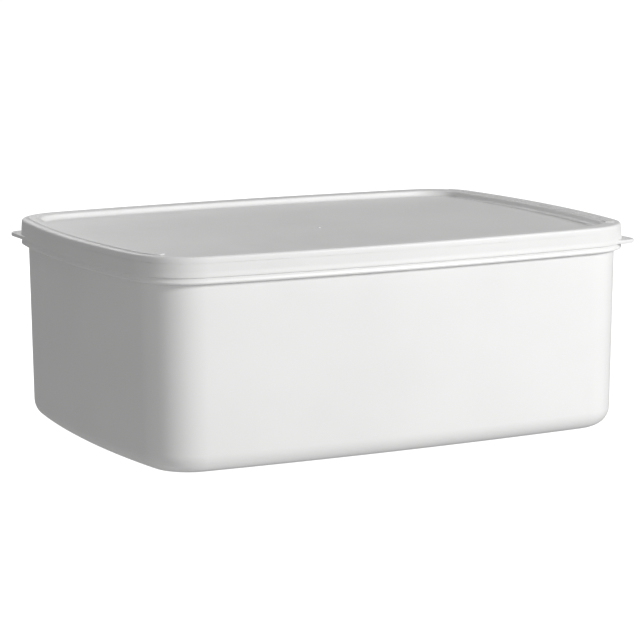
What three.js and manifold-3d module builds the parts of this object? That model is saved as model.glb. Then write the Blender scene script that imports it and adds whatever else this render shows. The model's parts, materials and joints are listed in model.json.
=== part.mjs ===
// A shut rectangular food tub of white moulded plastic: the tub with its collar, and the lid pressed on it.
// Millimetres, +Z up. The origin is on the surface the tub stands on, under the middle of the tub.
// The long sides face -Y and +Y, and the short sides face -X and +X.
import * as THREE from "three";
import { mergeVertices } from "three/addons/utils/BufferGeometryUtils.js";
import Module from "manifold-3d";

// Overall size, over the lid's skirt and up to the flat of its rim
const LENGTH = 280.8;
const WIDTH = 203.4;
const HEIGHT = 105;

// The lid seen from above: each side is an arc that stands out in its middle, and the corners are rounder arcs.
const LID_BOW = { long: 7.9, short: 11 };
const LID_CORNER = 30.6;

// The lid in section
const LID_WALL = 1.3;
const RIM_WIDTH = 10.4;
const RIM_EDGE_RADIUS = 1.2;
const SKIRT_HEIGHT = 10;
const SKIRT_DRAFT = 0.6;
const SKIRT_LIP = 0.9;
const RECESS_DEPTH = 3.3;
const RECESS_RUN = 3;
const PANEL_SAG = 0.8;
const GATE_RADIUS = 1.3;
const GATE_HEIGHT = 0.35;

// The stacking ribs on the rim, along the short sides and half-way round the corners
const RIB_HEIGHT = 0.6;
const RIB_OUTSIDE = 3.8;
const RIB_INSIDE = 8.4;
const RIB_SLOPE = 0.35;
const RIB_END = 41;

// The corner tabs, on two opposite corners: flat tongues at the foot of the skirt, nearly square-cornered
const TAB_REACH = { x: 135.5, y: 91.4 };
const TAB_ROOT = { x: 116, y: 62 };
const TAB_CORNER = 7;
const TAB_THICKNESS = 2;

// The tub's collar under the skirt, widest near its foot, and the gap that lid and tub keep everywhere
const COLLAR_HEIGHT = 2.8;
const COLLAR_INSET = 0.45;
const COLLAR_EDGE = 0.5;
const BEAD_HEIGHT = 1.1;
const BEAD_LEAN = 0.5;
const GAP = 0.3;

// The tub's wall, from the collar down to the base
const WALL_INSET = 3.6;
const WALL_CORNER = 27.1;
const WALL_TAPER = 0.0275;
const WALL_NECK_RADIUS = 2.3;
const BASE_BOW = { long: 5.3, short: 8.5 };
const BASE_FILLET = 9.7;
const FOOT_LIFT = 0.4;
const FOOT_INSET = 2;
const FOOT_WIDTH = 6.6;
const FOOT_HEIGHT = 1;

// How finely the round stretches are divided
const STEPS = { short: 4, corner: 9, long: 5 };
const FILLET_STEPS = 7;
const EDGE_STEPS = 3;

// Heights that follow from these
const skirtFoot = HEIGHT - SKIRT_HEIGHT;
const collarTop = skirtFoot - GAP;
const collarFoot = collarTop - COLLAR_HEIGHT;

const wasm = await Module();
wasm.setup();

// Radius of the arc that joins (-half, 0), (0, bow) and (half, 0).
function arcRadius(half, bow) {
  return (half * half + bow * bow) / (2 * bow);
}

// The meeting point, at +X +Y, of a circle about a and one about b.
function meetingPoint(a, radiusA, b, radiusB) {
  const between = b.clone().sub(a);
  const apart = between.length();
  const along = (radiusA ** 2 - radiusB ** 2 + apart ** 2) / (2 * apart);
  const across = Math.sqrt(radiusA ** 2 - along ** 2);
  const unit = between.divideScalar(apart);
  return new THREE.Vector2(
    a.x + unit.x * along - unit.y * across,
    a.y + unit.y * along + unit.x * across,
  );
}

// A closed outline of bowed sides and round corners, anticlockwise from the middle of the +X side.
function outline(halfLength, halfWidth, bow, corner) {
  const shortRadius = arcRadius(halfWidth, bow.short);
  const longRadius = arcRadius(halfLength, bow.long);
  const shortCentre = new THREE.Vector2(halfLength - shortRadius, 0);
  const longCentre = new THREE.Vector2(0, halfWidth - longRadius);
  const cornerCentre = meetingPoint(
    shortCentre,
    shortRadius - corner,
    longCentre,
    longRadius - corner,
  );
  const cornerStart = cornerCentre.clone().sub(shortCentre).angle();
  const cornerEnd = cornerCentre.clone().sub(longCentre).angle();
  const stretches = [
    [shortCentre, shortRadius, 0, cornerStart, STEPS.short],
    [cornerCentre, corner, cornerStart, cornerEnd, STEPS.corner],
    [longCentre, longRadius, cornerEnd, Math.PI / 2, STEPS.long],
  ];
  const quarter = stretches.flatMap(([centre, radius, from, to, steps], i) =>
    new THREE.ArcCurve(centre.x, centre.y, radius, from, to).getPoints(steps).slice(i ? 1 : 0),
  );
  const backwards = quarter.toReversed();
  const turns = [
    [quarter, 1, 1],
    [backwards, -1, 1],
    [quarter, -1, -1],
    [backwards, 1, -1],
  ];
  return turns.flatMap(([points, x, y]) =>
    points.slice(0, -1).map((p) => new THREE.Vector2(p.x * x, p.y * y)),
  );
}

// The ring that lies `inset` inside the lid's outline, at height z.
function lidRing(inset, z) {
  return raise(outline(LENGTH / 2 - inset, WIDTH / 2 - inset, LID_BOW, LID_CORNER - inset), z);
}

// A ring on top of the ribs: on the short sides it stands above the rim, and on the long sides it lies in it.
function ribRing(inset) {
  return lidRing(inset, HEIGHT).map((p) => {
    const lift = Math.abs(p.x) - Math.abs(p.y) > RIB_END ? RIB_HEIGHT : 0;
    return new THREE.Vector3(p.x, p.y, HEIGHT + lift);
  });
}

// The ring of the tub's wall at height z. Lower down it is smaller, less bowed and tighter in its corners.
function wallRing(z, fillet = 0) {
  const drop = (collarFoot - z) / collarFoot;
  const inset = WALL_INSET + (collarFoot - z) * WALL_TAPER + fillet;
  const bow = {
    long: THREE.MathUtils.lerp(LID_BOW.long, BASE_BOW.long, drop),
    short: THREE.MathUtils.lerp(LID_BOW.short, BASE_BOW.short, drop),
  };
  const corner = WALL_CORNER - 0.6 * (inset - WALL_INSET);
  return raise(outline(LENGTH / 2 - inset, WIDTH / 2 - inset, bow, corner), z);
}

function raise(points, z) {
  return points.map((p) => new THREE.Vector3(p.x, p.y, z));
}

// A ring drawn in towards the axis by a share of its size, and lowered.
function shrink(ring, share, drop) {
  return ring.map((p) => new THREE.Vector3(p.x * share, p.y * share, p.z - drop));
}

// A closed body: the skin through a list of rings, closed by a fan at each end. The rings run from the
// underside's middle, out, up and in to the top's middle.
function skin(rings) {
  const size = rings[0].length;
  const first = rings[0];
  const last = rings.at(-1);
  const corners = [...rings.flat(), middle(first), middle(last)];
  const under = rings.length * size;
  const over = under + 1;
  const index = [];
  for (let i = 0; i < size; i++) {
    const next = (i + 1) % size;
    index.push(under, next, i);
    for (let row = 0; row + 1 < rings.length; row++) {
      const low = row * size;
      const high = low + size;
      index.push(low + i, low + next, high + next);
      index.push(low + i, high + next, high + i);
    }
    index.push(over, over - 1 - size + i, over - 1 - size + next);
  }
  const geometry = new THREE.BufferGeometry().setFromPoints(corners);
  return geometry.setIndex(index);
}

function middle(ring) {
  return new THREE.Vector3(0, 0, ring[0].z);
}

// A rounded edge in section: insets and heights on a quarter circle about (inset, z).
function roundEdge(inset, z, radius, from, to, steps) {
  return Array.from({ length: steps + 1 }, (_, i) => {
    const angle = THREE.MathUtils.degToRad(THREE.MathUtils.lerp(from, to, i / steps));
    return [inset - radius * Math.cos(angle), z + radius * Math.sin(angle)];
  });
}

// The panel sags a little, like a cushion turned over: rings from its edge to its middle.
function panelRings(edge) {
  return [0, 0.06, 0.14, 0.26, 0.45].map((inwards) =>
    shrink(edge, 1 - inwards, PANEL_SAG * (1 - (1 - inwards / 0.45) ** 2)),
  );
}

// The lid's skirt and the edge of its rim in section, from the foot of the skirt upwards.
function skirtSection() {
  const edge = roundEdge(
    SKIRT_DRAFT + RIM_EDGE_RADIUS,
    HEIGHT - RIM_EDGE_RADIUS,
    RIM_EDGE_RADIUS,
    0,
    90,
    EDGE_STEPS + 1,
  );
  return [
    [0.3, skirtFoot],
    [0, skirtFoot + 0.3],
    [0, skirtFoot + SKIRT_LIP],
    [0.25, skirtFoot + 2.5],
    [0.42, skirtFoot + 7.4],
    ...edge,
    [RIB_OUTSIDE, HEIGHT],
  ];
}

// From the rim down to the edge of the panel in section: steep at the top and shallow at the bottom.
function recessSection() {
  const panelEdge = HEIGHT - RECESS_DEPTH;
  return [
    [RIB_INSIDE, HEIGHT],
    [RIM_WIDTH - 0.3, HEIGHT - 0.2],
    [RIM_WIDTH + 0.1, HEIGHT - 0.8],
    [RIM_WIDTH + 0.6, HEIGHT - 2.2],
    [RIM_WIDTH + 1.3, panelEdge + 0.3],
    [RIM_WIDTH + 2.6, panelEdge],
  ];
}

// The lid's underside in section, from the edge of the panel over the channel for the tub's rim to the skirt.
function lidUnderSection(clear) {
  const panelEdge = HEIGHT - RECESS_DEPTH - LID_WALL - clear;
  const channelTop = HEIGHT - LID_WALL - clear;
  const channelIn = RIM_WIDTH - LID_WALL - clear;
  const channelOut = SKIRT_DRAFT + LID_WALL + clear;
  return [
    [channelIn + RECESS_RUN + 1, panelEdge],
    [channelIn + RECESS_RUN - 0.4, panelEdge + 0.8],
    [channelIn + 0.4, channelTop - 0.7],
    [channelIn - 0.6, channelTop],
    [channelOut + 0.8, channelTop],
    [channelOut, channelTop - 1],
  ];
}

function lidBody() {
  const under = lidUnderSection(0);
  const recess = recessSection();
  const underEdge = lidRing(...under[0]);
  const topEdge = lidRing(...recess.at(-1));
  return skin([
    ...panelRings(underEdge).toReversed(),
    ...under.slice(1).map((point) => lidRing(...point)),
    lidRing(LID_WALL, skirtFoot),
    ...skirtSection().map((point) => lidRing(...point)),
    ribRing(RIB_OUTSIDE + RIB_SLOPE),
    ribRing(RIB_INSIDE - RIB_SLOPE),
    ...recess.slice(0, -1).map((point) => lidRing(...point)),
    ...panelRings(topEdge),
  ]);
}

// One corner tab, at the corner towards -X +Y. It runs into the skirt, which hides its square root.
function tabPlate() {
  const { x, y } = TAB_REACH;
  const shape = new THREE.Shape();
  shape.moveTo(-TAB_ROOT.x, TAB_ROOT.y);
  shape.lineTo(-TAB_ROOT.x, y + 0.9);
  shape.lineTo(TAB_CORNER - x, y);
  shape.absarc(TAB_CORNER - x, y - TAB_CORNER, TAB_CORNER, Math.PI / 2, Math.PI, false);
  shape.lineTo(-x - 0.4, TAB_ROOT.y);
  const plate = new THREE.ExtrudeGeometry(shape, {
    depth: TAB_THICKNESS,
    curveSegments: 6,
    bevelEnabled: false,
  });
  return plate.translate(0, 0, skirtFoot);
}

// What of the tab plate lies outside the skirt's inner face, so that the channel stays free.
function tabOutside() {
  const plate = solid(tabPlate());
  const inside = solid(
    skin([lidRing(LID_WALL / 2, skirtFoot - 1), lidRing(LID_WALL / 2, skirtFoot + TAB_THICKNESS + 1)]),
  );
  return plate.subtract(inside);
}

// The small nub that the moulding gate leaves in the middle of the panel.
function gateNub() {
  const panelMiddle = HEIGHT - RECESS_DEPTH - PANEL_SAG;
  const nub = new THREE.CylinderGeometry(GATE_RADIUS * 0.8, GATE_RADIUS, GATE_HEIGHT + LID_WALL / 2, 16);
  return nub.rotateX(Math.PI / 2).translate(0, 0, panelMiddle + GATE_HEIGHT / 2 - LID_WALL / 4);
}

function lidGeometry() {
  const tab = tabOutside();
  const joined = solid(lidBody()).add(tab).add(tab.rotate([0, 0, 180])).add(solid(gateNub()));
  return geometryOf(joined);
}

// The tub is shut, so it is solid up to the lid. Section from the middle of the base to the middle of the top.
function tubGeometry() {
  const footOutside = BASE_FILLET + FOOT_INSET + FOOT_LIFT;
  const footInside = footOutside + FOOT_WIDTH;
  const fillet = Array.from({ length: FILLET_STEPS }, (_, i) => {
    const angle = (Math.PI / 2) * ((i + 1) / FILLET_STEPS);
    return wallRing(FOOT_LIFT + BASE_FILLET * (1 - Math.cos(angle)), BASE_FILLET * (1 - Math.sin(angle)));
  });
  const rim = lidUnderSection(GAP);
  const topEdge = lidRing(...rim[0]);
  return skin([
    wallRing(FOOT_HEIGHT, footInside + FOOT_HEIGHT),
    wallRing(0, footInside),
    wallRing(0, footOutside),
    wallRing(FOOT_LIFT, BASE_FILLET + FOOT_INSET),
    wallRing(FOOT_LIFT, BASE_FILLET),
    ...fillet,
    wallRing(collarFoot / 2),
    wallRing(collarFoot - WALL_NECK_RADIUS),
    wallRing(collarFoot - 0.3 * WALL_NECK_RADIUS, -0.3 * WALL_NECK_RADIUS),
    wallRing(collarFoot, -WALL_NECK_RADIUS),
    ...collarSection().map((point) => lidRing(...point)),
    ...rim.slice(1).toReversed().map((point) => lidRing(...point)),
    ...panelRings(topEdge),
  ]);
}

// The collar that hides the lid's lower edge: nearly as wide as the skirt at its foot, and leaning in above.
function collarSection() {
  const beadTop = collarFoot + BEAD_HEIGHT;
  return [
    [COLLAR_INSET + COLLAR_EDGE, collarFoot],
    [COLLAR_INSET, collarFoot + COLLAR_EDGE],
    [COLLAR_INSET, beadTop - 0.2],
    [COLLAR_INSET + 0.1, beadTop + 0.25],
    [COLLAR_INSET + BEAD_LEAN, collarTop],
    [SKIRT_DRAFT + LID_WALL + GAP, collarTop],
  ];
}

// A closed geometry as a manifold-3d solid, and back.
function solid(geometry) {
  const bare = geometry.clone();
  bare.deleteAttribute("normal");
  bare.deleteAttribute("uv");
  const merged = mergeVertices(bare, 1e-4);
  return new wasm.Manifold(
    new wasm.Mesh({
      numProp: 3,
      vertProperties: merged.attributes.position.array,
      triVerts: new Uint32Array(merged.index.array),
    }),
  );
}

function geometryOf(body) {
  const { vertProperties, triVerts } = body.getMesh();
  const geometry = new THREE.BufferGeometry();
  geometry.setAttribute("position", new THREE.BufferAttribute(vertProperties, 3));
  geometry.setIndex(new THREE.BufferAttribute(triVerts, 1));
  return geometry;
}

function part(name, geometry, material) {
  geometry.computeVertexNormals();
  const mesh = new THREE.Mesh(geometry, material);
  mesh.name = name;
  return mesh;
}

const tubPlastic = new THREE.MeshStandardMaterial({ color: 0xeeeeec, roughness: 0.38, metalness: 0 });
const lidPlastic = new THREE.MeshStandardMaterial({ color: 0xe9e9e8, roughness: 0.45, metalness: 0 });

const container = new THREE.Group();
container.add(part("tub", tubGeometry(), tubPlastic));
container.add(part("lid", lidGeometry(), lidPlastic));

export default container;
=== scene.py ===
# %% [markdown]
# # A shut food tub of white plastic
#
# A catering tub of about five litres: a tub moulded in white polypropylene, and a lid that is pressed
# on and sits behind a collar, so that nobody lifts it without leaving a mark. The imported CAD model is
# the frame. The pieces made here have its sizes and stand in its place, with rounder corners, finer
# curves and a finish.
#
# The whole notebook works in metres, with the tub standing on the floor at z = 0, its long sides facing
# -Y and +Y and its short sides facing -X and +X.

# %% Load the frame
import json
import math

import bmesh
import bpy
from mathutils import Matrix, Vector

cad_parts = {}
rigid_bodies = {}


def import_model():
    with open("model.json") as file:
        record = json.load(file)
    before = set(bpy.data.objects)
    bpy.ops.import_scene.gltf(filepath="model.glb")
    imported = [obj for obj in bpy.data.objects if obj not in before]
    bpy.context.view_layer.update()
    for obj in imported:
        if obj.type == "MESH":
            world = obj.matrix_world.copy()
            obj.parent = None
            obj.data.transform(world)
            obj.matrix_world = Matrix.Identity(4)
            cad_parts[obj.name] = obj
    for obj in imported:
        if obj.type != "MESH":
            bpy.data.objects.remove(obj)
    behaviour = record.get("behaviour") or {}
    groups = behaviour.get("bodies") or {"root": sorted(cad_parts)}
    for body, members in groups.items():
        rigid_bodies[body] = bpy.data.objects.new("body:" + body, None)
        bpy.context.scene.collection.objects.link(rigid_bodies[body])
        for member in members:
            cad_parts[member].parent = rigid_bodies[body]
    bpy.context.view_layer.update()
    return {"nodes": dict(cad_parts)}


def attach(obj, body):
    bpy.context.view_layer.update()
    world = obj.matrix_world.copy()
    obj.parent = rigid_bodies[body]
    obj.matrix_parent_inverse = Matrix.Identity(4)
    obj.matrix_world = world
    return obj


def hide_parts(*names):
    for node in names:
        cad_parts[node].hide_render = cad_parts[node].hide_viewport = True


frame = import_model()

# %% [markdown]
# ## Sizes
#
# The tub and the lid share one idea of an outline: four sides that are shallow arcs, standing out in
# their middles, and four rounder corner arcs. A straight wall this thin would look sunken, and it would
# buckle when the tub is full, so moulders bow it. Lower down, the tub is smaller, straighter and
# tighter in its corners, which is the draft that lets it slide off its mould.

# %% Sizes of the outline
MM = 0.001
LENGTH = 280.8 * MM
WIDTH = 203.4 * MM
HEIGHT = 105 * MM
LID_BOW = {"long": 7.9 * MM, "short": 11 * MM}
LID_CORNER = 30.6 * MM
BASE_BOW = {"long": 5.3 * MM, "short": 8.5 * MM}
RING_STEPS = {"long": 36, "corner": 20, "short": 28}
print(f"outline {LENGTH / MM:.1f} x {WIDTH / MM:.1f} mm, rim at {HEIGHT / MM:.0f} mm")

# %% [markdown]
# From the top down, the side of the shut tub shows the lid's rim and skirt, a hairline gap, the tub's
# collar, and the wall. The levels between them are worked out once here, so that tub and lid always
# meet.

# %% Sizes of the lid and the collar
LID_WALL = 1.3 * MM
RIM_WIDTH = 10.4 * MM
SKIRT_HEIGHT = 10 * MM
SKIRT_DRAFT = 0.6 * MM
RECESS_DEPTH = 3.3 * MM
PANEL_SAG = 0.8 * MM
COLLAR_INSET = 0.3 * MM
COLLAR_HEIGHT = 3 * MM
BEAD_HEIGHT = 1.1 * MM
BEAD_FLARE = 0.8 * MM
BEAD_LEAN = 0.25 * MM
GAP = 0.3 * MM
SHOWN_GAP = 0.06 * MM

skirt_foot = HEIGHT - SKIRT_HEIGHT
collar_top = skirt_foot - SHOWN_GAP
collar_foot = collar_top - COLLAR_HEIGHT
bead_top = collar_foot + BEAD_HEIGHT
flare_top = bead_top + BEAD_FLARE
panel_edge = HEIGHT - RECESS_DEPTH
print("skirt foot", round(skirt_foot, 4), "collar", round(collar_foot, 4), "to", round(collar_top, 4))

# %% [markdown]
# The wall starts further in than the lid, so that the collar stands out over it. In the middle of each
# side it then draws in by 2.75 per cent of its height on its way down, a draft of about a degree and a
# half.

# %% Sizes of the tub's wall and base
WALL_INSET = 3.6 * MM
WALL_CORNER = 27.1 * MM
WALL_TAPER = 0.0275
CORNER_TIGHTENING = 0.6
BASE_FILLET = 9.7 * MM
FOOT_LIFT = 0.4 * MM
FOOT_INSET = 2 * MM
FOOT_WIDTH = 6.6 * MM
FOOT_HEIGHT = 1 * MM

base_inset = WALL_INSET + (collar_foot - FOOT_LIFT) * WALL_TAPER
base_corner = WALL_CORNER - CORNER_TIGHTENING * (base_inset - WALL_INSET)
print("base inset", round(base_inset / MM, 2), "mm, base corner", round(base_corner / MM, 2), "mm")

# %% [markdown]
# ## Drawing a ring
#
# A ring is drawn as a compass would: one point is spun about the centre of each arc in turn, and the
# eight arcs meet without a kink. Blender's spin operator turns clockwise about its axis, so the axis
# points down to go anticlockwise. A flat polygon with a bevel on its corners would be quicker, but its
# sides would be straight, and the bow is what catches the light along a real tub.


# %% Where the arcs of a ring lie
def side_radius(half, bow):
    """Radius of the arc that stands out by bow in the middle of a side of length 2 x half."""
    return (half * half + bow * bow) / (2 * bow)


def ring_arcs(half_length, half_width, bow, corner):
    """Where the ring starts, and its eight arcs: centre, angle turned and number of steps.

    The centre of a corner arc lies at a known distance from the centres of both its neighbours.
    """
    short_radius = side_radius(half_width, bow["short"])
    long_radius = side_radius(half_length, bow["long"])
    short_centre = Vector((half_length - short_radius, 0))
    long_centre = Vector((0, half_width - long_radius))
    short_reach = short_radius - corner
    long_reach = long_radius - corner
    between = long_centre - short_centre
    along = (short_reach**2 - long_reach**2 + between.length_squared) / (2 * between.length)
    across = math.sqrt(short_reach**2 - along**2)
    unit = between.normalized()
    corner_centre = short_centre + unit * along + Vector((-unit.y, unit.x)) * across
    from_short = corner_centre - short_centre
    from_long = corner_centre - long_centre
    side_half = math.atan2(from_short.y, from_short.x)
    corner_end = math.atan2(from_long.y, from_long.x)
    turns = [2 * side_half, corner_end - side_half, math.pi - 2 * corner_end, corner_end - side_half]
    steps = [RING_STEPS["short"], RING_STEPS["corner"], RING_STEPS["long"], RING_STEPS["corner"]]
    x, y = corner_centre
    centres = [short_centre, Vector((x, y)), long_centre, Vector((-x, y))]
    half_ring = list(zip(centres, turns, steps))
    other_half = [(-centre, turn, count) for centre, turn, count in half_ring]
    start = short_centre + short_radius * Vector((math.cos(side_half), -math.sin(side_half)))
    return start, half_ring + other_half


print("the lid's long side is an arc of radius", round(side_radius(LENGTH / 2, LID_BOW["long"]), 2), "m")

# %% [markdown]
# These are the drawing tools: a new piece, a point and a whole ring. Blender's mesh operators work in edit
# mode, so a piece is opened when it is started and stays open until its mesh is done.

# %% Drawing helpers
HAIR = 0.01 * MM


def start_piece(name):
    """A new object with an empty mesh, in edit mode."""
    if bpy.context.mode != "OBJECT":
        bpy.ops.object.mode_set(mode="OBJECT")
    bpy.ops.object.select_all(action="DESELECT")
    bpy.ops.mesh.primitive_plane_add(size=MM)
    piece = bpy.context.object
    piece.name = piece.data.name = name
    bpy.ops.object.mode_set(mode="EDIT")
    bpy.ops.mesh.delete(type="VERT")
    return piece


def place_point(x, y, z):
    """One selected point: a speck of a plane, merged and moved into place."""
    bpy.ops.mesh.select_mode(type="VERT")
    bpy.ops.mesh.select_all(action="DESELECT")
    bpy.ops.mesh.primitive_plane_add(size=MM)
    bpy.ops.mesh.merge(type="CENTER")
    bpy.ops.transform.translate(value=(x, y, z))


def draw_ring(half_length, half_width, bow, corner, z):
    """Draws a closed ring at height z and leaves it selected."""
    start, arcs = ring_arcs(half_length, half_width, bow, corner)
    place_point(start.x, start.y, z)
    for centre, turn, count in arcs:
        bpy.ops.mesh.spin(steps=count, angle=turn, center=(centre.x, centre.y, z), axis=(0, 0, -1))
    bpy.ops.mesh.select_linked()
    bpy.ops.mesh.remove_doubles(threshold=HAIR)


def draw_lid_ring(inset, z):
    """The lid's outline, drawn in by inset."""
    draw_ring(LENGTH / 2 - inset, WIDTH / 2 - inset, LID_BOW, LID_CORNER - inset, z)


# %% [markdown]
# ## Choosing and shaping
#
# Every operator works on what is selected. A person clicks; a script says in words which faces or edges
# it means, by their place, their angle or the way that they face.


# %% Choosing helpers
MANY_SIDES = 40
NEARLY_LEVEL = 0.9


def choose(kind, test):
    """Selects just those edges or faces of the mesh in edit mode that pass the test, and counts them."""
    bpy.ops.mesh.select_mode(type=kind)
    bpy.ops.mesh.select_all(action="DESELECT")
    mesh = bmesh.from_edit_mesh(bpy.context.object.data)
    mesh.normal_update()
    elements = mesh.edges if kind == "EDGE" else mesh.faces
    picked = [element for element in elements if test(element)]
    for element in picked:
        element.select_set(True)
    mesh.select_flush_mode()
    bmesh.update_edit_mesh(bpy.context.object.data)
    return len(picked)


def choose_flat(up):
    """Selects the big many-sided face that faces up (1) or down (-1)."""
    choose("FACE", lambda face: len(face.verts) > MANY_SIDES and face.normal.z * up > NEARLY_LEVEL)


def at_height(edge, z):
    """Whether both ends of an edge are at height z."""
    return all(abs(end.co.z - z) < HAIR for end in edge.verts)


def tell(step):
    """Prints what the mesh in edit mode has by now."""
    mesh = bmesh.from_edit_mesh(bpy.context.object.data)
    print(f"{step}: {len(mesh.verts)} points, {len(mesh.faces)} faces")


# %% [markdown]
# The lid and the top of the tub are shaped in the way that a turner cuts steps: the flat face is inset,
# lifted or lowered, and the edge is rounded off. Edges that stand out and edges that lie in can run at
# one height, so the rounding is told which of them are meant.


# %% Shaping helpers
SHARP = math.radians(25)


def soften(z, radius, segments, concave=False):
    """Rounds the sharp edges that run at height z, either those that stand out or those that lie in."""
    count = choose(
        "EDGE",
        lambda edge: at_height(edge, z)
        and edge.is_manifold
        and edge.calc_face_angle() > SHARP
        and edge.is_convex != concave,
    )
    bpy.ops.mesh.bevel(offset=radius, segments=segments, profile=0.5, affect="EDGES", clamp_overlap=False)
    print(f"  rounded {count} edges at z = {z / MM:.1f} mm to {radius / MM:.2f} mm")


def step_in(inwards, lift=0.0):
    """Insets the selected face, then lifts or lowers what is inside."""
    bpy.ops.mesh.inset(thickness=inwards, depth=0)
    if lift:
        bpy.ops.transform.translate(value=(0, 0, lift))


def raise_face(lift, shrink_by=0.0):
    """Extrudes the selected face straight up or down, and draws it in by shrink_by on every side."""
    bpy.ops.mesh.extrude_region_move(TRANSFORM_OT_translate={"value": (0, 0, lift)})
    if shrink_by:
        scale = (1 - shrink_by / (LENGTH / 2), 1 - shrink_by / (WIDTH / 2), 1)
        bpy.ops.transform.resize(value=scale, center_override=(0, 0, 0))


# %% [markdown]
# ## The tub
#
# The real tub is injection moulded in one shot. Seen from outside it is a wall that widens upwards, a
# base with a generous fillet, a ring to stand on, and at the top a collar nearly as wide as the lid's
# skirt. Two rings are drawn, at the base and under the collar, and bridged: a loft, because the two
# rings have different bows and no scaling turns one into the other.

# %% Loft the wall
WALL_CUTS = 5

tub_shell = start_piece("tub_shell")
draw_ring(LENGTH / 2 - base_inset, WIDTH / 2 - base_inset, BASE_BOW, base_corner, FOOT_LIFT)
draw_ring(LENGTH / 2 - WALL_INSET, WIDTH / 2 - WALL_INSET, LID_BOW, WALL_CORNER, collar_foot)
bpy.ops.mesh.select_all(action="SELECT")
bpy.ops.mesh.bridge_edge_loops(number_cuts=WALL_CUTS, interpolation="LINEAR")
tell("wall")

# %% [markdown]
# The collar starts as a third ring, bridged to the wall and let down to its height, so that the faces
# between them are a narrow ledge. It is drawn a little higher, because rings in one plane may be
# bridged crosswise. The open top is filled with one face and pulled up: first straight, nearly as wide
# as the skirt, then leaning in a little, then straight again up to the lid. The leaning part catches
# the light from above.

# %% Pull up the collar
LEDGE_LIFT = 5 * MM
COLLAR_EDGE_RADIUS = 0.8 * MM
WALL_NECK_RADIUS = 0.9 * MM
BEAD_EDGE_RADIUS = 0.3 * MM

draw_lid_ring(COLLAR_INSET, collar_foot + LEDGE_LIFT)
choose("EDGE", lambda edge: edge.is_boundary and at_height(edge, collar_foot) or edge.is_wire)
bpy.ops.mesh.bridge_edge_loops()
choose("EDGE", lambda edge: at_height(edge, collar_foot + LEDGE_LIFT))
bpy.ops.transform.translate(value=(0, 0, -LEDGE_LIFT))
choose("EDGE", lambda edge: edge.is_boundary and edge.verts[0].co.z > HEIGHT / 2)
bpy.ops.mesh.edge_face_add()
choose("EDGE", lambda edge: edge.is_boundary and edge.verts[0].co.z < HEIGHT / 2)
bpy.ops.mesh.edge_face_add()
bpy.ops.mesh.select_all(action="SELECT")
bpy.ops.mesh.normals_make_consistent(inside=False)
choose_flat(1)
raise_face(BEAD_HEIGHT)
raise_face(BEAD_FLARE, BEAD_LEAN)
raise_face(collar_top - flare_top)
soften(collar_foot, COLLAR_EDGE_RADIUS, segments=3)
soften(collar_foot, WALL_NECK_RADIUS, segments=5, concave=True)
for level in (bead_top, flare_top):
    choose("EDGE", lambda edge: at_height(edge, level))
    bpy.ops.mesh.bevel(offset=BEAD_EDGE_RADIUS, segments=3, affect="EDGES")
tell("collar")

# %% [markdown]
# Inside the lid's skirt the tub's rim goes up, where nobody sees it while the lid is on. It is modelled
# all the same, with the gap that the lid needs, because a part that is finished only where the camera
# looks shows it as soon as somebody takes the lid away. The tub is shut, so behind the rim it is one
# solid.

# %% Build the hidden rim and the top
RIM_ROUNDING = 0.8 * MM
RECESS_ROUNDING = 1.2 * MM
RECESS_RUN = 3 * MM

rim_top = HEIGHT - LID_WALL - GAP
rim_outside = SKIRT_DRAFT + LID_WALL + GAP
rim_inside = RIM_WIDTH - LID_WALL - GAP
choose_flat(1)
step_in(rim_outside - COLLAR_INSET - BEAD_LEAN)
raise_face(rim_top - collar_top)
soften(rim_top, RIM_ROUNDING, segments=3)
choose_flat(1)
step_in(rim_inside - rim_outside - RIM_ROUNDING)
step_in(RECESS_RUN, -RECESS_DEPTH)
soften(rim_top, RIM_ROUNDING, segments=3)
soften(rim_top - RECESS_DEPTH, RECESS_ROUNDING, segments=3, concave=True)

# %% [markdown]
# A large flat panel of polypropylene never stays flat: it sags a little as it cools. The sag is built
# as a stack of smaller and smaller copies of the panel's outline, each lowered along a parabola. The
# lid needs it most, and the tub's top follows the lid.

# %% Sag the top
SAG_SHARES = [0.03, 0.07, 0.12, 0.18, 0.25, 0.33, 0.41, 0.5, 0.6, 0.7, 0.8, 0.88, 0.94]


def sag_panel(up, depth):
    """Shapes the big flat face that faces up (1) or down (-1) into a shallow dish."""
    choose_flat(up)
    scale, drop = 1.0, 0.0
    for share in SAG_SHARES:
        next_drop = depth * (1 - (1 - share / SAG_SHARES[-1]) ** 2)
        bpy.ops.mesh.extrude_region_move(TRANSFORM_OT_translate={"value": (0, 0, drop - next_drop)})
        ratio = (1 - share) / scale
        bpy.ops.transform.resize(value=(ratio, ratio, 1), center_override=(0, 0, 0))
        scale, drop = 1 - share, next_drop
    print(f"  sagged by {drop / MM:.2f} mm in {len(SAG_SHARES)} rings")


sag_panel(1, PANEL_SAG)

# %% [markdown]
# The base fillet is what the eye reads as the tub's softness. It is one bevel of nearly ten millimetres
# on the edge between wall and base. The tub stands on a low flat ring a little further in, so that the
# fillet ends just above the table, and the middle of the base is drawn up by a millimetre, so that the
# tub never rocks.

# %% Round the base and draw its foot ring
soften(FOOT_LIFT, BASE_FILLET, segments=10)
choose_flat(-1)
step_in(FOOT_INSET)
step_in(FOOT_LIFT, -FOOT_LIFT)
step_in(FOOT_WIDTH)
step_in(FOOT_HEIGHT, FOOT_HEIGHT)
bpy.ops.object.mode_set(mode="OBJECT")
print("tub_shell", len(tub_shell.data.polygons), "faces", [round(c, 4) for c in tub_shell.dimensions])

# %% [markdown]
# ## The lid
#
# The lid is a thin shell: a skirt, a flat rim, and a panel sunk by about three millimetres, in which
# the next tub stands. The block of the skirt is drawn and pulled up first, in steps that lean in by
# different amounts: a small lip at its foot, then a nearly upright band. Its top is then stepped down
# into the panel, and its underside is hollowed in the same way, so that the wall has its real
# thickness.

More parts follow.
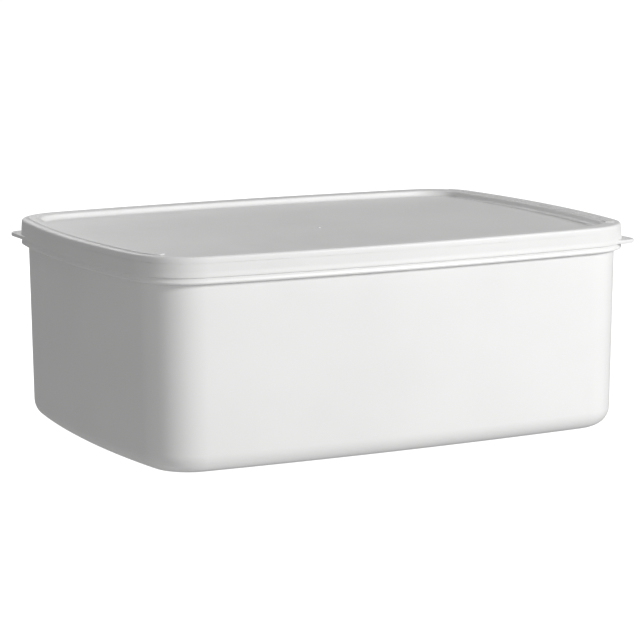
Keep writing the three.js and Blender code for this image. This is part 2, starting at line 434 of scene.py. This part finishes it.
# %% Pull up the skirt and round its edge
# Each step of the skirt, in millimetres: its rise, how far it leans in, and the rounding at its top.
SKIRT_STEPS = [(0.9, 0, 0.4), (1.6, 0.25, 0.6), (3.2, 0.05, 1.2), (1.7, 0.12, 0.6)]
RIM_EDGE_RADIUS = 1.2 * MM

lid_shell = start_piece("lid_shell")
draw_lid_ring(0, skirt_foot)
bpy.ops.mesh.edge_face_add()
level, drawn_in = skirt_foot, 0
skirt_levels = []
for rise, lean, rounding in SKIRT_STEPS:
    raise_face(rise * MM, lean * MM)
    level, drawn_in = level + rise * MM, drawn_in + lean * MM
    skirt_levels.append((level, rounding * MM))
raise_face(HEIGHT - level, SKIRT_DRAFT - drawn_in)
bpy.ops.mesh.select_all(action="SELECT")
bpy.ops.mesh.normals_make_consistent(inside=False)
soften(HEIGHT, RIM_EDGE_RADIUS, segments=6)
for level, rounding in skirt_levels:
    choose("EDGE", lambda edge: at_height(edge, level) and edge.is_manifold)
    bpy.ops.mesh.bevel(offset=rounding, segments=3, affect="EDGES")
print("skirt levels", [round(level / MM, 1) for level, rounding in skirt_levels])

# %% [markdown]
# The rim is shaped in small cuts, each as far in and as far down as the list says. It stays flat over
# an outer band and an inner band, falls very little at first, and then goes down to the panel in a soft
# S. The S is steep at the top and shallow at the bottom, so that the lid comes off its mould and is
# easy to wipe.

# %% Cut the rim and step down to the panel
RIB_OUTSIDE = 3.8
RIB_INSIDE = 8.4
# Each cut, in millimetres: how far in from the outline it ends, and how far under the rim.
RIM_CUTS = [
    (RIB_OUTSIDE, 0),
    (RIB_INSIDE, 0),
    (9.7, 0.04),
    (10.1, 0.18),
    (10.4, 0.5),
    (10.62, 1.1),
    (10.85, 1.75),
    (11.1, 2.4),
    (11.5, 2.85),
    (12.1, 3.15),
    (13.0, 3.3),
]

choose_flat(1)
inset, drop = SKIRT_DRAFT + RIM_EDGE_RADIUS, 0
for next_inset, next_drop in RIM_CUTS:
    step_in(next_inset * MM - inset, drop - next_drop * MM)
    inset, drop = next_inset * MM, next_drop * MM
print("panel starts", round(inset / MM, 2), "mm from the outline,", round(drop / MM, 2), "mm down")

# %% [markdown]
# Along the short sides the inner band of the rim stands higher, as a flat rib that runs half-way round
# both corners. It steadies a stack: the next tub's foot sits between the two ribs. The faces of that
# band between the middles of the corners are drawn in and pulled up, first steeply and then a little,
# for a soft edge.

# %% Raise the ribs
RIB_HEIGHT = 0.6 * MM
RIB_END = 41 * MM
RIB_SLOPE = 0.35 * MM
RIB_CROWN = 0.12 * MM
rib_width = (RIB_INSIDE - RIB_OUTSIDE) * MM


def on_rib(face):
    """Whether a face of the flat inner band lies on a short side or on its half of a corner."""
    middle = face.calc_center_median()
    flat = all(abs(corner.co.z - HEIGHT) < HAIR for corner in face.verts)
    across = any(abs(edge.calc_length() - rib_width) < 0.1 * MM for edge in face.edges)
    return flat and across and abs(middle.x) - abs(middle.y) > RIB_END


ribs = choose("FACE", on_rib)
bpy.ops.mesh.inset(thickness=RIB_SLOPE, depth=RIB_HEIGHT - RIB_CROWN)
bpy.ops.mesh.inset(thickness=RIB_SLOPE, depth=RIB_CROWN)
print("ribs", ribs, "faces")

# %% [markdown]
# The lid's panel sags like the top of the tub below it. That comes before the gate mark, because the sag
# is made of copies of the whole flat face.

# %% Sag the lid's panel
sag_panel(1, PANEL_SAG)

# %% [markdown]
# In the middle of the panel is the gate mark, the small nub where the plastic flowed into the mould and
# was torn off. It stands in a shallow dimple, so that it never holds the next tub up. A circle is
# bridged to the panel, and the nub is pulled up from it.

# %% Make the gate mark
CIRCLE_SIDES = 32
DIMPLE_RADIUS = 2.8 * MM
DIMPLE_DEPTH = 0.3 * MM
DIMPLE_SLOPE = 0.6 * MM
GATE_RADIUS = 0.9 * MM
GATE_HEIGHT = 0.3 * MM
GATE_SLOPE = 0.15 * MM
GATE_CROWN = 0.08 * MM
GATE_CROWN_SLOPE = 0.25 * MM


def open_circle(radius, z):
    """Turns the selected face into a ring of faces about a round face, and selects the round one."""
    bpy.ops.mesh.delete(type="ONLY_FACE")
    bpy.ops.mesh.select_all(action="DESELECT")
    bpy.ops.mesh.primitive_circle_add(vertices=CIRCLE_SIDES, radius=radius, location=(0, 0, z))
    choose("EDGE", lambda edge: edge.is_wire or edge.is_boundary)
    bpy.ops.mesh.bridge_edge_loops()
    choose("EDGE", lambda edge: edge.is_boundary)
    bpy.ops.mesh.edge_face_add()
    choose("FACE", lambda face: len(face.verts) == CIRCLE_SIDES)


choose_flat(1)
open_circle(DIMPLE_RADIUS, panel_edge - PANEL_SAG)
step_in(DIMPLE_SLOPE, -DIMPLE_DEPTH)
step_in(DIMPLE_RADIUS - DIMPLE_SLOPE - GATE_RADIUS)
step_in(GATE_SLOPE, GATE_HEIGHT)
step_in(GATE_CROWN_SLOPE, GATE_CROWN)
bpy.ops.mesh.poke()
tell("top of the lid")

# %% [markdown]
# The underside follows the top at the thickness of the wall: up inside the skirt, across the channel
# that holds the tub's rim, and down behind it to the panel.

# %% Hollow the underside
SKIRT_EDGE_RADIUS = 0.35 * MM

channel_top = HEIGHT - LID_WALL
channel_outside = SKIRT_DRAFT + LID_WALL
channel_inside = RIM_WIDTH - LID_WALL
choose_flat(-1)
step_in(LID_WALL)
raise_face(channel_top - skirt_foot, SKIRT_DRAFT)
soften(channel_top, RIM_ROUNDING, segments=3, concave=True)
choose_flat(-1)
step_in(channel_inside - channel_outside - RIM_ROUNDING)
step_in(RECESS_RUN, -RECESS_DEPTH)
soften(channel_top, RIM_ROUNDING, segments=3, concave=True)
soften(channel_top - RECESS_DEPTH, RECESS_ROUNDING, segments=3)
soften(skirt_foot, SKIRT_EDGE_RADIUS, segments=2)
sag_panel(-1, PANEL_SAG)
bpy.ops.object.mode_set(mode="OBJECT")
print("lid_shell", len(lid_shell.data.polygons), "faces", [round(c, 4) for c in lid_shell.dimensions])

# %% [markdown]
# ## The tabs
#
# On two opposite corners a flat tongue stands out at the foot of the skirt: the only place where a
# finger gets hold of the lid. It is drawn in plan, line by line, with a spun corner, then pulled up by
# its thickness and softened. Its edges aren't quite square to the tub: the long one slants and the
# short one flares.

# %% Draw a tab
TAB_REACH = Vector((135.5 * MM, 91.4 * MM))
TAB_ROOT = Vector((116 * MM, 62 * MM))
TAB_SLANT = 0.9 * MM
TAB_FLARE = 0.4 * MM
TAB_CORNER = 7 * MM
TAB_THICKNESS = 2 * MM
TAB_EDGE_RADIUS = 0.5 * MM


def draw_line(x, y):
    """Draws a line from the selected point, x to the right and y away, and selects its end."""
    bpy.ops.mesh.extrude_region_move(TRANSFORM_OT_translate={"value": (x, y, 0)})


tabs = start_piece("tabs")
place_point(-TAB_ROOT.x, TAB_ROOT.y, skirt_foot)
draw_line(0, TAB_REACH.y + TAB_SLANT - TAB_ROOT.y)
draw_line(TAB_ROOT.x - TAB_REACH.x + TAB_CORNER, -TAB_SLANT)
bpy.ops.mesh.spin(
    steps=10,
    angle=math.pi / 2,
    center=(TAB_CORNER - TAB_REACH.x, TAB_REACH.y - TAB_CORNER, skirt_foot),
    axis=(0, 0, -1),
)
draw_line(-TAB_FLARE, TAB_ROOT.y - TAB_REACH.y + TAB_CORNER)
bpy.ops.mesh.select_all(action="SELECT")
bpy.ops.mesh.edge_face_add()
raise_face(TAB_THICKNESS)
bpy.ops.mesh.select_all(action="SELECT")
bpy.ops.mesh.normals_make_consistent(inside=False)
soften(skirt_foot, TAB_EDGE_RADIUS, segments=3)
soften(skirt_foot + TAB_THICKNESS, TAB_EDGE_RADIUS, segments=3)

# %% [markdown]
# The second tab is a copy of the first, turned by half a turn about the middle of the tub. A mirror image
# would put it on the next corner instead.

# %% Copy the tab to the opposite corner
bpy.ops.mesh.select_all(action="SELECT")
bpy.ops.mesh.duplicate()
bpy.ops.transform.rotate(value=math.pi, orient_axis="Z", center_override=(0, 0, 0))
tell("both tabs")
bpy.ops.object.mode_set(mode="OBJECT")

# %% [markdown]
# The tabs and the lid are one piece of plastic, so they are joined with a Boolean. Their roots are
# longer than the skirt is thick. A block that ends in the middle of the skirt's wall cuts them off
# first, so that nothing sticks out inside. An exact solver takes a moment longer than a fast one, and
# it keeps thin walls whole.

# %% Cut their roots and join them to the lid
CUTTER_MARGIN = 1 * MM

cutter = start_piece("cutter")
draw_lid_ring(LID_WALL / 2, skirt_foot - CUTTER_MARGIN)
bpy.ops.mesh.edge_face_add()
raise_face(TAB_THICKNESS + 2 * CUTTER_MARGIN)
bpy.ops.mesh.select_all(action="SELECT")
bpy.ops.mesh.normals_make_consistent(inside=False)
bpy.ops.object.mode_set(mode="OBJECT")


def combine(piece, other, operation):
    """Applies a Boolean of piece with other, then removes other."""
    bpy.ops.object.select_all(action="DESELECT")
    bpy.context.view_layer.objects.active = piece
    piece.select_set(True)
    boolean = piece.modifiers.new("boolean", "BOOLEAN")
    boolean.operation = operation
    boolean.solver = "EXACT"
    boolean.object = other
    bpy.ops.object.modifier_apply(modifier=boolean.name)
    bpy.data.objects.remove(other)
    print(operation.lower(), piece.name, len(piece.data.polygons), "faces")


combine(tabs, cutter, "DIFFERENCE")
combine(lid_shell, tabs, "UNION")

# %% [markdown]
# ## Smooth shading
#
# The faces are shaded smooth, except across edges sharper than 35 degrees. Plain smooth shading lets a
# small bevel tilt the light on the large flat face beside it. Weighted normals stop that: the larger
# face wins.


# %% Shade the pieces
SMOOTH_BELOW = math.radians(35)


def shade(piece):
    """Smooth shading by angle, with normals weighted by the size of the faces."""
    bpy.ops.object.select_all(action="DESELECT")
    bpy.context.view_layer.objects.active = piece
    piece.select_set(True)
    bpy.ops.object.shade_smooth_by_angle(angle=SMOOTH_BELOW)
    weighted = piece.modifiers.new("weighted", "WEIGHTED_NORMAL")
    weighted.keep_sharp = True
    bpy.ops.object.modifier_apply(modifier=weighted.name)


for piece in (tub_shell, lid_shell):
    shade(piece)
    mesh = bmesh.new()
    mesh.from_mesh(piece.data)
    loose = sum(not edge.is_manifold for edge in mesh.edges)
    print(piece.name, "open edges", loose, "litres", round(mesh.calc_volume() * 1000, 4))
    mesh.free()

# %% [markdown]
# ## The plastics
#
# White polypropylene is never one flat colour. It is a little cloudy where it is thick, light goes a
# short way into it, and its gloss comes from the mould: polished for the tub, finely blasted for the
# lid. Clouds, gloss and grain are noise nodes on the piece's own coordinates, so nothing slides when the
# camera moves.

# %% Node helpers
PLASTIC_IOR = 1.49
LIGHT_LET_IN = 0.1
LIGHT_DEPTH = 2 * MM
NOISE_LOW = 0.3
NOISE_HIGH = 0.7


def new_plastic(name):
    """A material with its nodes, its shader and the piece's own coordinates."""
    material = bpy.data.materials.new(name)
    material.use_nodes = True
    nodes = material.node_tree.nodes
    shader = nodes["Principled BSDF"]
    shader.inputs["IOR"].default_value = PLASTIC_IOR
    shader.inputs["Subsurface Weight"].default_value = LIGHT_LET_IN
    shader.inputs["Subsurface Radius"].default_value = (1, 1, 1)
    shader.inputs["Subsurface Scale"].default_value = LIGHT_DEPTH
    place = nodes.new("ShaderNodeTexCoord")
    return material, nodes, material.node_tree.links, shader, place.outputs["Object"]


def cloud(nodes, links, place, patches, detail, stretch=(1, 1, 1)):
    """A noise that has about that many patches to the metre, stretched along the axes."""
    mapping = nodes.new("ShaderNodeMapping")
    mapping.inputs["Scale"].default_value = stretch
    links.new(place, mapping.inputs["Vector"])
    noise = nodes.new("ShaderNodeTexNoise")
    noise.inputs["Scale"].default_value = patches
    noise.inputs["Detail"].default_value = detail
    links.new(mapping.outputs["Vector"], noise.inputs["Vector"])
    return noise.outputs["Fac"]


def spread(nodes, links, value, low, high):
    """Spreads a noise over the range from low to high."""
    ranged = nodes.new("ShaderNodeMapRange")
    ranged.inputs["From Min"].default_value = NOISE_LOW
    ranged.inputs["From Max"].default_value = NOISE_HIGH
    ranged.inputs["To Min"].default_value = low
    ranged.inputs["To Max"].default_value = high
    links.new(value, ranged.inputs["Value"])
    return ranged.outputs["Result"]


def tint(nodes, links, value, dark, light):
    """Turns a noise into a colour between two close whites."""
    ramp = nodes.new("ShaderNodeValToRGB")
    ramp.color_ramp.elements[0].position = NOISE_LOW
    ramp.color_ramp.elements[0].color = (*dark, 1)
    ramp.color_ramp.elements[1].position = NOISE_HIGH
    ramp.color_ramp.elements[1].color = (*light, 1)
    links.new(value, ramp.inputs["Fac"])
    return ramp.outputs["Color"]


def roughen(nodes, links, height, distance, normal=None):
    """A bump of a real height in metres, on top of another if one is given."""
    bump = nodes.new("ShaderNodeBump")
    bump.inputs["Strength"].default_value = 1
    bump.inputs["Distance"].default_value = distance
    links.new(height, bump.inputs["Height"])
    if normal:
        links.new(normal, bump.inputs["Normal"])
    return bump.outputs["Normal"]


# %% [markdown]
# The tub comes off a polished mould. Its gloss is broken by handling, by faint upright lines where the
# wall slid off the mould, and by orange peel, the slight waviness of a moulded skin.

# %% Tub plastic
TUB_WHITES = (0.845, 0.845, 0.84), (0.875, 0.875, 0.87)
TUB_ROUGHNESS = 0.3, 0.4
UPRIGHT = (1, 1, 0.04)
DRAW_LINE_HEIGHT = 0.004 * MM
ORANGE_PEEL_HEIGHT = 0.003 * MM

tub_plastic, nodes, links, shader, place = new_plastic("tub_polypropylene")
cloudiness = cloud(nodes, links, place, patches=16, detail=2)
links.new(tint(nodes, links, cloudiness, *TUB_WHITES), shader.inputs["Base Color"])
handling = cloud(nodes, links, place, patches=55, detail=4)
links.new(spread(nodes, links, handling, *TUB_ROUGHNESS), shader.inputs["Roughness"])
draw_lines = cloud(nodes, links, place, patches=260, detail=2, stretch=UPRIGHT)
orange_peel = cloud(nodes, links, place, patches=700, detail=2)
bumped = roughen(nodes, links, draw_lines, DRAW_LINE_HEIGHT)
bumped = roughen(nodes, links, orange_peel, ORANGE_PEEL_HEIGHT, bumped)
links.new(bumped, shader.inputs["Normal"])
print(tub_plastic.name, len(nodes), "nodes")

# %% [markdown]
# The lid is a shade greyer and less glossy: its mould was blasted with fine grit, which leaves a satin
# grain, finer than the tub's orange peel.

# %% Lid plastic
LID_WHITES = (0.805, 0.805, 0.8), (0.835, 0.835, 0.83)
LID_ROUGHNESS = 0.38, 0.5
BLAST_HEIGHT = 0.004 * MM

lid_plastic, nodes, links, shader, place = new_plastic("lid_polypropylene")
cloudiness = cloud(nodes, links, place, patches=12, detail=2)
links.new(tint(nodes, links, cloudiness, *LID_WHITES), shader.inputs["Base Color"])
handling = cloud(nodes, links, place, patches=60, detail=4)
links.new(spread(nodes, links, handling, *LID_ROUGHNESS), shader.inputs["Roughness"])
blasted = cloud(nodes, links, place, patches=1200, detail=2)
links.new(roughen(nodes, links, blasted, BLAST_HEIGHT), shader.inputs["Normal"])
print(lid_plastic.name, len(nodes), "nodes")

# %% [markdown]
# Each piece now takes its plastic and stands in for its CAD solid. The solids are hidden, and they get
# the same plastic, so that whoever shows them again sees the same white.

# %% Put the pieces in the frame
for piece, node, material, slot in (
    (tub_shell, "tub", tub_plastic, "tub_plastic"),
    (lid_shell, "lid", lid_plastic, "lid_plastic"),
):
    piece.data.materials.clear()
    piece.data.materials.append(material)
    frame["nodes"][node].data.materials.clear()
    frame["nodes"][node].data.materials.append(material)
    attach(piece, "root")
    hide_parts(node)
    print(piece.name, "stands for", node)

# %% [markdown]
# ## The studio
#
# The tub stands on a plain white floor that runs on into a white background, as on a product table. A
# real white table would throw light back up under the tub. Here a wide weak light from below does that,
# and the floor lets it through.

# %% Floor
FLOOR_SIZE = 60
FLOOR_DROP = 0.2 * MM
PAPER_WHITE = 0.8
PAPER_ROUGHNESS = 0.9
PAPER_GLOW = 0.85

bpy.ops.object.select_all(action="DESELECT")
bpy.ops.mesh.primitive_plane_add(size=FLOOR_SIZE, location=(0, 0, -FLOOR_DROP))
floor = bpy.context.object
floor.name = "floor"
paper = bpy.data.materials.new("floor_paper")
paper.use_nodes = True
paper_shader = paper.node_tree.nodes["Principled BSDF"]
paper_shader.inputs["Base Color"].default_value = (PAPER_WHITE, PAPER_WHITE, PAPER_WHITE, 1)
paper_shader.inputs["Roughness"].default_value = PAPER_ROUGHNESS
paper_shader.inputs["Emission Color"].default_value = (1, 1, 1, 1)
paper_shader.inputs["Emission Strength"].default_value = PAPER_GLOW
floor.data.materials.append(paper)
floor.visible_diffuse = False
floor.visible_glossy = False
floor.visible_shadow = False
print("floor", FLOOR_SIZE, "m square")

# %% [markdown]
# A weak white world lightens every shadow evenly, like the walls of a studio.

# %% World
WORLD_STRENGTH = 0.283

world = bpy.data.worlds.new("studio")
world.use_nodes = True
background = world.node_tree.nodes["Background"]
background.inputs["Color"].default_value = (1, 1, 1, 1)
background.inputs["Strength"].default_value = WORLD_STRENGTH
bpy.context.scene.world = world
print("world strength", WORLD_STRENGTH)

# %% [markdown]
# The lights are squares that face the middle of the tub. The key stands in front to the right, and it is
# the smallest. A weak wide fill stands behind the camera, and a wide light behind the tub gives the lid's
# panel its sheen. The last one is the light from below. There is little fill, so the short side stays
# grey.

# %% Lights
TUB_MIDDLE = Vector((0, 0, 0.05))
# Each light: its name, its place in metres, the side of its square, and its power in watts.
LIGHTS = [
    ("key", (0.87, -1.45, 0.67), 0.4, 22.7),
    ("side_fill", (-0.61, -1.69, 0.21), 1, 4.2),
    ("back", (0, 1.56, 0.95), 1, 8.5),
    ("floor_bounce", (0, 0, -1.6), 1.5, 4.7),
]

for name, place, size, power in LIGHTS:
    light = bpy.data.lights.new(name, "AREA")
    light.size = size
    light.energy = power
    holder = bpy.data.objects.new(name, light)
    bpy.context.scene.collection.objects.link(holder)
    toward = TUB_MIDDLE - Vector(place)
    holder.matrix_world = Matrix.Translation(place) @ toward.to_track_quat("-Z", "Y").to_matrix().to_4x4()
    print(name, round(toward.length, 2), "m from the tub,", power, "W")

# %% [markdown]
# ## The camera
#
# The camera stands well back with a long lens, so that the tub's edges hardly converge, a little to the
# left of the long side and about nine degrees above it.

# %% Camera
AZIMUTH = math.radians(-27.296)
ELEVATION = math.radians(9.445)
ROLL = math.radians(-0.17)
DISTANCE = 1355.4 * MM
AIM = Vector((6.51, 11.72, 50.42)) * MM
LENS = 146.1
SENSOR = 36

back = Vector(
    (
        math.sin(AZIMUTH) * math.cos(ELEVATION),
        -math.cos(AZIMUTH) * math.cos(ELEVATION),
        math.sin(ELEVATION),
    )
)
camera = bpy.data.objects.new("camera", bpy.data.cameras.new("camera"))
bpy.context.scene.collection.objects.link(camera)
camera.data.lens = LENS
camera.data.sensor_width = SENSOR
camera.data.clip_start = 0.05
camera.data.clip_end = 100
turned = (-back).to_track_quat("-Z", "Y").to_matrix().to_4x4() @ Matrix.Rotation(ROLL, 4, "Z")
camera.matrix_world = Matrix.Translation(AIM + back * DISTANCE) @ turned
bpy.context.scene.camera = camera
bpy.context.scene.view_settings.view_transform = "Standard"
print("camera at", [round(c, 3) for c in camera.matrix_world.translation])
